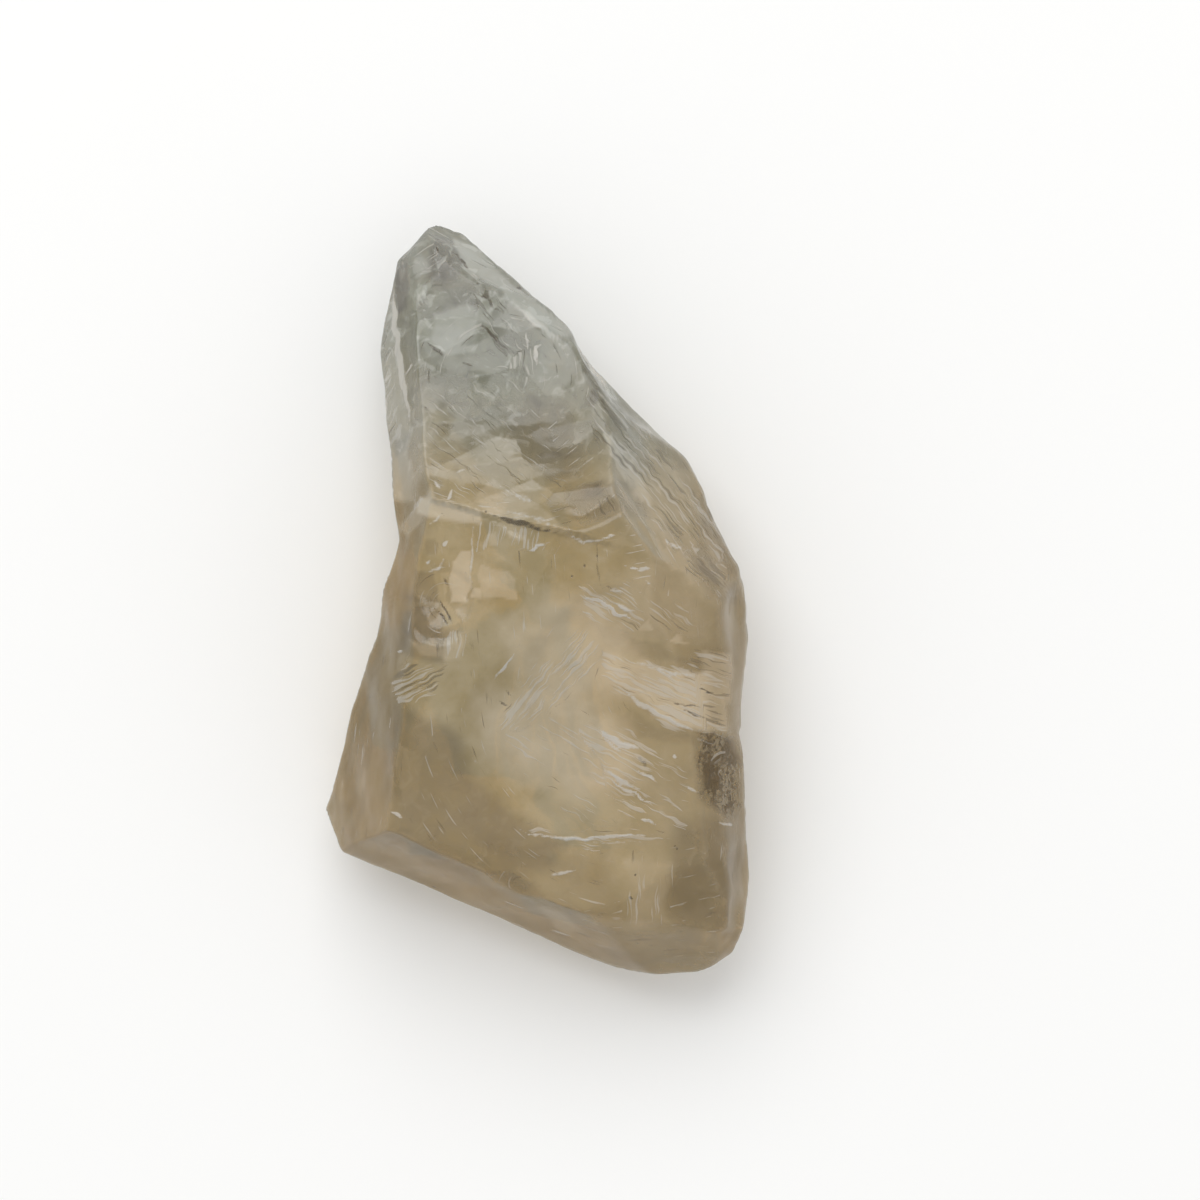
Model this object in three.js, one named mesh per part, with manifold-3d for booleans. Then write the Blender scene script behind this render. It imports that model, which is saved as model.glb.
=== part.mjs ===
// A raw lump of smoky quartz, one solid piece. All of its faces are breaks: flat ones, shallow bowls
// struck out of the surface, and steps where two breaks met in a hollow corner.
// Millimetres, +Z up, the clear tip towards +Y. The lump lies on its flat underside, and its origin
// is on that face, under the middle of the lump.

import * as THREE from 'three';
import { mergeVertices } from 'three/addons/utils/BufferGeometryUtils.js';
import loadManifold from 'manifold-3d';

const wasm = await loadManifold();
wasm.setup();

// The block that the lump is broken out of, and the size of a break, which is larger than the block.
const BLOCK = { width: 40, length: 66, height: 24 };
const BREAK_SIZE = 160;

// A break passes through the point x, y, z. Its outward direction has a bearing in degrees, from +X
// towards +Y, and a tilt in degrees from +Z: 0 looks up, 90 sideways and 180 straight down.
const breakAt = (x, y, z, bearing, tilt) => ({ point: new THREE.Vector3(x, y, z), bearing, tilt });

const FLAT_BREAKS = {
  roof: breakAt(1.9, -0.1, 20.5, -80, 3),
  leftFlank: breakAt(-12.7, -16.8, 15.5, 174, 63),
  tipFace: breakAt(-9.8, 27.8, 10.2, 125, 28),
  tipLeft: breakAt(-11, 28.9, 8.5, 140, 66),
  tipRight: breakAt(-5.6, 29.7, 7.5, 62, 55),
  rightStrip: breakAt(14.8, 6.6, 10.5, 33, 58),
  rightWall: breakAt(17.4, -21.8, 9, -1, 69),
  rightCorner: breakAt(15.4, -29.9, 7.5, -52, 66),
  wallRound: breakAt(15.4, -21.8, 13.6, -8, 36),
  endRound: breakAt(10.3, -26.3, 13.2, -75, 28),
  endSlope: breakAt(10.3, -31.3, 7, -88, 54),
  endBevel: breakAt(-5, -26.1, 7, -110, 67),
  leftCorner: breakAt(-17.6, -19.9, 8.5, 215, 72),
  underTip: breakAt(-8.1, 31.3, 7.5, 85, 138),
  underTipLeft: breakAt(-10.9, 28.9, 8, 140, 120),
  underLeft: breakAt(-13.3, 23.9, 8.5, 163, 112),
  underTipRight: breakAt(-5.6, 29.7, 7, 44, 104),
  underRight: breakAt(15.9, 3.7, 10.5, 20, 114),
  underWall: breakAt(17.5, -23, 8.5, -7, 112),
  underCorner: breakAt(15.4, -29.9, 7, -52, 120),
  underEnd: breakAt(11.1, -31.3, 6.5, -86, 128),
  underBevel: breakAt(-5, -26.1, 7, -119, 122),
};

// Two breaks that meet in a hollow corner: only what lies outside both of them is gone.
const STEPS = {
  ledge: [breakAt(1.9, -0.1, 19.6, 185, 11), breakAt(-0.6, 5.8, 19, -108, 68)],
  leftWaist: [breakAt(-17.7, -16.8, 6, 158, 108), breakAt(-12.9, 14.1, 10.5, 193, 105)],
  rightWaist: [breakAt(17.6, -4.7, 10.5, -9, 110), breakAt(17.4, -21.8, 8.5, 8, 112)],
};

// A bowl is part of a ball of the given radius. It was struck at its point, and ripples run out from
// there, as high and as far apart as given. The small ones are chips along the edges.
const bowlAt = (x, y, z, bearing, tilt, radius, ripple = 0, wave = 1) => (
  { ...breakAt(x, y, z, bearing, tilt), radius, ripple, wave }
);

const BOWLS = {
  front: bowlAt(9.4, -7.6, 17.3, -103.5, 17, 70, 0.1, 4.6),
  crown: bowlAt(-3.1, 18.3, 13, 95, 18, 40, 0.05, 5),
  leftScoop: bowlAt(-7.6, -0.5, 17.2, 175, 14, 10, 0.1, 2.6),
  rightScoop: bowlAt(15.3, -14.6, 14, 5, 42, 7, 0.08, 2),
  rightHollow: bowlAt(5.8, 17.1, 9.5, 40, 80, 18),
  stripLeaf: bowlAt(7.6, 10.6, 16.1, 28, 52, 14),
  ridgeChip: bowlAt(-10.7, -7.6, 16.8, 172, 32, 5),
  bevelChip: bowlAt(-1.4, -23.6, 13.9, -112, 35, 4.5),
  bulgeChip: bowlAt(16.6, -1.2, 11.8, 8, 58, 4),
  wallChip: bowlAt(16.6, -25.5, 10.4, -12, 58, 5),
};

// How far a bowl's skin goes round its ball from the struck point, in degrees, the length of a step on
// the way, and the sides of a ring, which grow with the square root of the radius.
const BOWL_SPREAD = 70;
const BOWL_STEP = 1.2;
const SIDES_PER_ROOT = 8;

// The outward direction of a break.
function outward({ bearing, tilt }) {
  const turn = THREE.MathUtils.degToRad(bearing);
  const lean = THREE.MathUtils.degToRad(tilt);
  const level = new THREE.Vector3(Math.cos(turn), Math.sin(turn), 0);
  return level.multiplyScalar(Math.sin(lean)).setZ(Math.cos(lean));
}

// A closed geometry as a solid that can be joined and cut.
function solidFrom(geometry) {
  geometry.deleteAttribute('normal');
  geometry.deleteAttribute('uv');
  const merged = mergeVertices(geometry, 1e-4);
  const index = merged.index.array;
  const triangles = [];
  for (let i = 0; i < index.length; i += 3) {
    const [a, b, c] = index.subarray(i, i + 3);
    if (a !== b && b !== c && c !== a) triangles.push(a, b, c);
  }
  const mesh = new wasm.Mesh({
    numProp: 3,
    vertProperties: new Float32Array(merged.attributes.position.array),
    triVerts: new Uint32Array(triangles),
  });
  return new wasm.Manifold(mesh);
}

// Turns a geometry so that its +Y looks outward from the break, and moves it to the break's point.
function placeAt(geometry, place) {
  const turn = new THREE.Quaternion().setFromUnitVectors(new THREE.Vector3(0, 1, 0), outward(place));
  geometry.applyQuaternion(turn);
  geometry.translate(place.point.x, place.point.y, place.point.z);
  return geometry;
}

// All that lies outside a flat break.
function outsideFlat(place) {
  const slab = new THREE.BoxGeometry(BREAK_SIZE, BREAK_SIZE, BREAK_SIZE);
  slab.translate(0, BREAK_SIZE / 2, 0);
  return solidFrom(placeAt(slab, place));
}

// What a bowl takes away: a cap of its ball, whose skin rises and falls in rings about the struck point.
function insideBowl(bowl) {
  const { radius, ripple, wave } = bowl;
  const spread = THREE.MathUtils.degToRad(BOWL_SPREAD);
  const steps = Math.ceil((radius * spread) / BOWL_STEP);
  const profile = [];
  for (let i = 0; i <= steps; i += 1) {
    const angle = (spread * i) / steps;
    const arc = radius * angle;
    const skin = radius + ripple * (Math.cos((2 * Math.PI * arc) / wave) - 1);
    profile.push(new THREE.Vector2(skin * Math.sin(angle), radius - skin * Math.cos(angle)));
  }
  profile.push(new THREE.Vector2(0, profile[steps].y));
  const sides = Math.ceil(SIDES_PER_ROOT * Math.sqrt(radius));
  return solidFrom(placeAt(new THREE.LatheGeometry(profile, sides), bowl));
}

// The lump: the block less every break.
function brokenLump() {
  const block = new THREE.BoxGeometry(BLOCK.width, BLOCK.length, BLOCK.height);
  block.translate(0, 0, BLOCK.height / 2);
  let lump = solidFrom(block);
  for (const flat of Object.values(FLAT_BREAKS)) {
    lump = lump.subtract(outsideFlat(flat));
  }
  for (const [first, second] of Object.values(STEPS)) {
    lump = lump.subtract(outsideFlat(first).intersect(outsideFlat(second)));
  }
  for (const bowl of Object.values(BOWLS)) {
    lump = lump.subtract(insideBowl(bowl));
  }
  return lump;
}

// A solid's skin as a geometry, with its origin at the middle of its box's underside.
function centredGeometry(solid) {
  const { vertProperties, triVerts } = solid.getMesh();
  const geometry = new THREE.BufferGeometry();
  geometry.setAttribute('position', new THREE.BufferAttribute(vertProperties, 3));
  geometry.setIndex(new THREE.BufferAttribute(triVerts, 1));
  geometry.computeBoundingBox();
  const { min, max } = geometry.boundingBox;
  geometry.translate(-(min.x + max.x) / 2, -(min.y + max.y) / 2, -min.z);
  geometry.computeVertexNormals();
  return geometry;
}

const smokyQuartz = new THREE.MeshStandardMaterial({ color: 0xb3a27f, roughness: 0.25, metalness: 0 });

const lump = new THREE.Mesh(centredGeometry(brokenLump()), smokyQuartz);
lump.name = 'smoky_quartz';

const part = new THREE.Group();
part.add(lump);

export default part;
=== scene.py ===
import math

import bpy
import numpy as np
from bpy.props import FloatProperty, FloatVectorProperty, IntProperty, PointerProperty
from bpy.types import Operator, Panel, PropertyGroup
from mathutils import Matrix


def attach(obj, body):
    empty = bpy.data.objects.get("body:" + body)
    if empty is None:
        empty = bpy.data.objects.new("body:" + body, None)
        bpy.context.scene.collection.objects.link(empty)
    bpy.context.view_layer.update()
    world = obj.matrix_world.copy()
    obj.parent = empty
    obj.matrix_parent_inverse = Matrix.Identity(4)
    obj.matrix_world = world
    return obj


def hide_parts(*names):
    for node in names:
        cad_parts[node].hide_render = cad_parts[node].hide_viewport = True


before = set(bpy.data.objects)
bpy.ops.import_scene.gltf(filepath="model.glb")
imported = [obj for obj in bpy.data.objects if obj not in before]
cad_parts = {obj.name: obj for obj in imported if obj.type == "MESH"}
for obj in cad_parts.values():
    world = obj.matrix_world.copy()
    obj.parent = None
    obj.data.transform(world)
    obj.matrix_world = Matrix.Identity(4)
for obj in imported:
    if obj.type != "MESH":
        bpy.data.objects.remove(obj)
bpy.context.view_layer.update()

bl_info = {
    "name": "Raw Smoky Quartz",
    "version": (1, 0, 0),
    "blender": (4, 5, 0),
    "location": "View3D > Sidebar > Quartz",
    "description": "A broken lump of see-through smoky quartz on a pale studio floor",
    "category": "Object",
}

MM = 0.001
FAR = 1e3
NODE = "smoky_quartz"
BODY = "root"

# A break passes through the point x, y, z in mm. Its outward direction has a bearing in degrees, from
# +X towards +Y, and a tilt in degrees from +Z: 0 looks up, 90 sideways and 180 straight down.
FLAT_BREAKS = {
    "rest": (0, 0, 0, 0, 180),
    "roof": (1.9, -0.1, 20.5, -80, 3),
    "left_flank": (-12.7, -16.8, 15.5, 174, 63),
    "tip_face": (-9.8, 27.8, 10.2, 125, 28),
    "tip_left": (-11, 28.9, 8.5, 140, 66),
    "tip_right": (-5.6, 29.7, 7.5, 62, 55),
    "right_strip": (14.8, 6.6, 10.5, 33, 58),
    "right_wall": (17.4, -21.8, 9, -1, 69),
    "right_corner": (15.4, -29.9, 7.5, -52, 66),
    "wall_round": (15.4, -21.8, 13.6, -8, 36),
    "end_round": (10.3, -26.3, 13.2, -75, 28),
    "end_slope": (10.3, -31.3, 7, -88, 54),
    "end_bevel": (-5, -26.1, 7, -110, 67),
    "left_corner": (-17.6, -19.9, 8.5, 215, 72),
    "under_tip": (-8.1, 31.3, 7.5, 85, 138),
    "under_tip_left": (-10.9, 28.9, 8, 140, 120),
    "under_left": (-13.3, 23.9, 8.5, 163, 112),
    "under_tip_right": (-5.6, 29.7, 7, 44, 104),
    "under_right": (15.9, 3.7, 10.5, 20, 114),
    "under_wall": (17.5, -23, 8.5, -7, 112),
    "under_corner": (15.4, -29.9, 7, -52, 120),
    "under_end": (11.1, -31.3, 6.5, -86, 128),
    "under_bevel": (-5, -26.1, 7, -119, 122),
}

# Two breaks that meet in a hollow corner: only what lies outside both of them is gone.
STEPS = {
    "ledge": ((1.9, -0.1, 19.6, 185, 11), (-0.6, 5.8, 19, -108, 68)),
    "left_waist": ((-17.7, -16.8, 6, 158, 108), (-12.9, 14.1, 10.5, 193, 105)),
    "right_waist": ((17.6, -4.7, 10.5, -9, 110), (17.4, -21.8, 8.5, 8, 112)),
}

# A bowl is part of a ball: the break's five numbers, the ball's radius, and the height and the length
# of the ripples that run out from the struck point.
BOWLS = {
    "front": (9.4, -7.6, 17.3, -103.5, 17, 70, 0.1, 4.6),
    "crown": (-3.1, 18.3, 13, 95, 18, 40, 0.05, 5),
    "left_scoop": (-7.6, -0.5, 17.2, 175, 14, 10, 0.1, 2.6),
    "right_scoop": (15.3, -14.6, 14, 5, 42, 7, 0.08, 2),
    "right_hollow": (5.8, 17.1, 9.5, 40, 80, 18, 0, 1),
    "strip_leaf": (7.6, 10.6, 16.1, 28, 52, 14, 0, 1),
    "ridge_chip": (-10.7, -7.6, 16.8, 172, 32, 5, 0, 1),
    "bevel_chip": (-1.4, -23.6, 13.9, -112, 35, 4.5, 0, 1),
    "bulge_chip": (16.6, -1.2, 11.8, 8, 58, 4, 0, 1),
    "wall_chip": (16.6, -25.5, 10.4, -12, 58, 5, 0, 1),
}

# How a break's surface is worked: the height of its slow waves and of its grain, and the size, the
# depth and the stretch along the contour of its flake scars, all in mm.
PLAIN_RELIEF = (0.1, 0.02, 4, 0.2, 1.5)
RELIEFS = {
    "rest": (0, 0, 1, 0, 1),
    "roof": (0.08, 0.012, 5, 0.06, 1.5),
    "ledge": (0.08, 0.012, 5, 0.06, 1.5),
    "left_flank": (0.08, 0.012, 5, 0.14, 4),
    "tip_face": (0.06, 0.015, 2.6, 0.4, 1.6),
    "tip_left": (0.06, 0.02, 2.2, 0.3, 1.5),
    "tip_right": (0.06, 0.02, 1.8, 0.35, 3),
    "right_strip": (0.08, 0.02, 1.3, 0.25, 5),
    "end_round": (0.05, 0.01, 6, 0.08, 2),
    "end_slope": (0.06, 0.012, 3, 0.12, 3),
    "end_bevel": (0.05, 0.006, 9, 0.06, 2),
    "front": (0.06, 0.008, 9, 0.06, 2),
    "crown": (0.1, 0.012, 3, 0.35, 1.8),
    "left_scoop": (0.05, 0.015, 2.2, 0.4, 1.3),
    "right_scoop": (0.06, 0.05, 1, 0.35, 1),
}

# The lengths of the slow waves and of the grain in mm, how far the floors of flake scars differ in
# height, as a share of their depth, and how far a bowl's ripples wander, in mm, over which length.
WAVE_LENGTH = 7
GRAIN_LENGTH = 1.5
FLOOR_SHARE = 0.3
RIPPLE_WANDER = 0.35
RIPPLE_WANDER_LENGTH = 5

# How a break looks: how white it is, on the tip's faces partly as a painted reflection; how much darker
# amber is painted on it as the shade of the flanks and lower sides; how stained it is, how strong its
# fine lines are, and how far the tones of its flake scars differ.
PLAIN_LOOK = (0.05, 0.1, 0, 0.1, 0.35)
LOOKS = {
    "roof": (0, 0.03, 0, 0.1, 0.25),
    "ledge": (0.06, 0, 0, 0.08, 0.25),
    "left_flank": (0, 0.85, 0, 0.1, 0.35),
    "left_corner": (0, 0.85, 0, 0.1, 0.3),
    "tip_face": (0.1, 0.06, 0, 0.45, 1),
    "tip_left": (0.28, 0.05, 0, 0.3, 0.8),
    "tip_right": (0.4, 0, 0, 0.3, 0.6),
    "right_strip": (0.16, 0.08, 0, 0.6, 0.7),
    "right_wall": (0, 0.6, 0, 0.1, 0.35),
    "right_corner": (0, 0.55, 0, 0.1, 0.3),
    "wall_round": (0, 0.2, 0, 0.15, 0.35),
    "end_round": (0, 0.2, 0, 0.2, 0.2),
    "end_slope": (0, 0.25, 0, 0.2, 0.2),
    "end_bevel": (0, 0.8, 0, 0.1, 0.1),
    "front": (0.1, 0, 0, 0.15, 0.1),
    "crown": (0.05, 0.06, 0, 0.25, 0.75),
    "left_scoop": (0.1, 0.05, 0, 0.4, 0.7),
    "right_scoop": (0, 0.2, 0.75, 0.5, 0.4),
    "strip_leaf": (0.4, 0, 0, 0.1, 0.1),
}

# Marks on the upper faces, in mm, seen from above. A line has a width, a strength and its route.
# White lines are scratches, flakes and veils; those named glint are painted glints, and tip_ridge, the
# crescent lines and the ripple lines are painted highlights.
WHITE_LINES = {
    # Painted highlight along the tip's left ridge, partly a white worn ridge.
    "tip_ridge": (0.36, 0.9, (-12.1, 27.2), (-12, 25), (-11.8, 22.4), (-11.3, 19.3), (-10.8, 16.4),
                  (-10.3, 14.2)),
    "tip_ridge_fork": (0.16, 0.6, (-11, 18.4), (-10.1, 19.8)),
    "strip_glint_high": (0.2, 0.8, (-12.8, 18.1), (-12.1, 18.9)),
    "strip_glint_low": (0.22, 0.9, (-12.8, 15.6), (-12.3, 16.6)),
    "strip_glint_foot": (0.25, 0.8, (-12.7, 13.5), (-12.4, 13.9)),
    "tip_seam": (0.25, 0.6, (-1.8, 24.5), (-0.4, 23), (0.9, 22)),
    "tip_hook": (0.25, 0.7, (0.6, 21.4), (0, 20.9), (-0.2, 20), (0.1, 19.3)),
    "tip_hook_left": (0.2, 0.6, (-0.9, 22.6), (-0.7, 21.4), (-0.9, 20.4)),
    "tip_rim": (0.35, 0.8, (3.2, 22), (4.2, 20), (5, 18.8), (6.2, 17.3)),
    "apex_rim": (0.3, 0.4, (-12, 28.4), (-10.4, 30), (-8.9, 31)),
    "crown_scratch_left": (0.15, 0.5, (-8, 15.2), (-6.8, 14.1)),
    "crown_scratch_mid": (0.15, 0.5, (-5.4, 13.2), (-4.8, 14.4)),
    "crown_scratch_right": (0.15, 0.45, (-1.4, 14.6), (-0.9, 13.2)),
    "crown_scratch_low": (0.15, 0.5, (-6.8, 10.4), (-5.6, 11)),
    # Painted highlight: the steep rim of the crown's bowl above the lip, lit from above.
    "crescent": (0.4, 0.5, (-4.6, 8.4), (-2, 7.3), (0.6, 6.5), (2.6, 5.7), (3.8, 4.8)),
    "crescent_arc": (0.3, 0.5, (-3.5, 10), (-2.2, 8.9), (-0.4, 8.1), (1.2, 7)),
    "lip_edge": (0.16, 0.7, (2.2, 6.8), (2.9, 5.4), (3.9, 4.7), (5, 4.9), (7.9, 5.8)),
    "left_roll": (0.45, 0.5, (-10.9, 6.4), (-10, 7.4), (-9, 9)),
    "vee_left": (0.2, 0.7, (-8.5, 9.8), (-7.7, 9.1)),
    "vee_right": (0.22, 0.8, (-7.4, 8.2), (-6.9, 9.1)),
    "vee_low": (0.16, 0.6, (-9, 6), (-7.7, 7.2)),
    "upright": (0.18, 0.6, (-5.3, 6.8), (-5.2, 4.2), (-5.5, 0.1)),
    "scoop_glint": (0.25, 0.9, (-7.7, 4.5), (-7.2, 4.9)),
    "scoop_glint_left": (0.18, 0.8, (-9.1, 2.9), (-8.7, 3.3)),
    "scoop_bar": (0.25, 0.6, (-9.3, 2.2), (-8, 2.6), (-7.4, 3.6)),
    "wedge": (0.2, 0.7, (-1.2, 3.8), (-0.5, 4.1), (1.2, 4.8)),
    "flank_glint": (0.18, 0.7, (-11.5, -4.4), (-10.9, -4.2)),
    "feather": (0.16, 0.8, (-3.5, -6.7), (-2.4, -5.4), (-1.7, -4.3)),
    "streak_high": (0.2, 0.9, (3.8, 0.4), (5, -0.1), (6.3, -0.9), (8.2, -1.8)),
    "streak_high_mate": (0.26, 0.7, (6.1, 0), (7.4, -0.8), (8.6, -1)),
    "streak_short": (0.26, 0.7, (5.9, 1), (7.3, 0.5)),
    "streak_tail": (0.18, 0.6, (4, -0.9), (4.7, -1.5)),
    "shoulder_glint": (0.18, 0.85, (7.2, 2.9), (8.4, 2.5), (9.5, 2.5)),
    "shoulder_glint_low": (0.2, 0.7, (8.9, 1.6), (9.6, 1.3)),
    "shoulder_streak": (0.24, 0.7, (10.2, 5.2), (11, 4.6), (12.7, 3.9)),
    "band_top": (0.25, 0.6, (7, -4.6), (9, -5.4), (11, -6.1), (14.2, -6.2)),
    "band_low": (0.3, 0.7, (6.3, -6.6), (8.6, -8.6), (11.5, -10.2), (14, -11)),
    "stroke_first": (0.32, 0.85, (4.9, -10.3), (6, -11.3), (7.5, -12.1), (8.8, -12.4)),
    "stroke_mate": (0.26, 0.7, (5.2, -11.1), (6.2, -12), (7.3, -12.7)),
    "stroke_second": (0.3, 0.7, (5.1, -13.4), (7, -15), (9, -15.8)),
    "stroke_second_mate": (0.18, 0.75, (5.8, -14.7), (8.5, -16.3), (10.1, -17)),
    "stroke_third": (0.2, 0.8, (8.2, -13.9), (10.1, -15)),
    "stroke_fourth": (0.16, 0.7, (8.5, -18), (10.1, -18.7)),
    "stroke_right": (0.18, 0.75, (12.2, -15.3), (13.5, -15.9)),
    "front_glint": (0.17, 0.9, (11.2, -12.9), (11.7, -13)),
    "oval_rim": (0.18, 0.7, (14.7, -18.1), (15.5, -18.6), (16.5, -18.8)),
    # Painted highlights along the ripple crests, from ripple_line to ripple_left.
    "ripple_line": (0.22, 0.75, (-2.4, -18.6), (0.6, -19.6), (3.8, -19.8), (6.5, -19.5), (10.2, -19.3)),
    "ripple_mate": (0.18, 0.5, (3.6, -20.1), (6.4, -20), (9.4, -20)),
    "ripple_tail": (0.18, 0.4, (10.3, -19.5), (11, -20.7), (12.2, -21.7)),
    "ripple_ring": (0.16, 0.45, (12.8, -20.4), (13.9, -21), (15.2, -20.1)),
    "ripple_left": (0.3, 0.4, (-7, -11.8), (-4.4, -13.7), (-2.4, -15.6), (-1, -16.7)),
    "low_line": (0.2, 0.65, (0.9, -22.8), (2.2, -22.6), (3.7, -22.2)),
    "corner_glint": (0.16, 0.8, (-12, -17.3), (-10.9, -18)),
    "left_ridge": (0.25, 0.35, (-11.8, -2.5), (-12.4, -9), (-13.1, -16), (-12.2, -19.6)),
    "bevel_rim": (0.25, 0.4, (-6, -22.6), (-3, -23.8), (-0.3, -25), (2.7, -26.3), (4.2, -28.2)),
    "flank_rim": (0.4, 0.5, (-16.4, -10.5), (-17.3, -15), (-17.6, -18.4)),
}
# Dark lines are cracks; lip_shadow, comb_shade and ripple_shade are painted shadow and shade under the lip,
# beside the comb and below a ripple.
DARK_LINES = {
    "apex_crease": (0.2, 0.7, (-7, 29), (-6, 28), (-5.5, 27.2)),
    "crown_crease": (0.2, 0.6, (-5.2, 26.4), (-4.5, 26), (-3.8, 25.3)),
    "crown_step": (0.18, 0.75, (-5, 25.5), (-4, 24.9), (-2.9, 23.7)),
    "crown_step_low": (0.2, 0.8, (-4.8, 23), (-3.5, 21.8), (-2.3, 20.5)),
    "crown_tick": (0.22, 0.7, (-9.2, 21.5), (-8.5, 21), (-7.6, 20.1)),
    "crown_cross": (0.18, 0.6, (-6.2, 19.7), (-5, 19.4)),
    "crown_smear": (0.4, 0.45, (-10, 16.4), (-8.5, 15.4)),
    "rim_spot": (0.4, 0.6, (-1.7, 26.1), (-1.1, 25.8)),
    "strip_seam": (0.25, 0.55, (4, 18.9), (4.6, 16.6), (5.4, 14.4)),
    "lip_shadow": (0.3, 0.8, (-4.2, 7.1), (-1.9, 6.45), (0.4, 5.85), (2.3, 5.3)),
    "scoop_blade": (0.24, 0.7, (-7.7, 2.1), (-7.2, 1)),
    "scoop_tick": (0.16, 0.85, (-7.9, 0), (-7.3, -1.1), (-6.9, -2)),
    "scoop_tick_mate": (0.16, 0.85, (-8.2, -0.8), (-7.2, -2.2)),
    "comb_shade": (0.22, 0.4, (-5.9, -2.2), (-5.4, -3.5), (-5.1, -4.8)),
    "fan_high": (0.16, 0.6, (-2.6, -7.3), (-2, -8)),
    "fan_low": (0.16, 0.6, (-3.2, -8.1), (-2.5, -8.7), (-2, -8.6)),
    "vee_tick": (0.16, 0.6, (-8, 7.3), (-7.4, 6.7)),
    "band_groove": (0.16, 0.7, (10.8, -8.4), (13.9, -8.9)),
    "band_groove_low": (0.16, 0.75, (11.9, -9), (14.2, -9.9)),
    "band_groove_end": (0.18, 0.75, (13.2, -7.2), (14.6, -7.8)),
    "stroke_stain": (0.25, 0.6, (8.2, -12.8), (8.8, -13.3), (9, -14)),
    "ripple_shade": (0.35, 0.3, (-5.2, -15.2), (-3, -17.2), (-0.4, -19), (2.4, -20.6), (6, -20.9)),
    "end_arc": (0.35, 0.35, (6.5, -27.8), (10, -27), (13.2, -27.7)),
    "end_arc_low": (0.3, 0.3, (8, -29.2), (11, -28.6), (14, -29)),
}
SPECKS = (
    (-4.2, 7.1), (3.9, 2.8), (3.5, 3.5), (3, 1.9), (5, 3.7), (-8.7, -23.9), (8.1, -22.9), (7.8, -24.7),
    (-16.1, -19.2), (2.7, -26), (11.5, -20.5), (-8.3, 29.3), (14.8, -7.7), (-14, -8.1),
)
SPECK_WIDTH = 0.22

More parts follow.
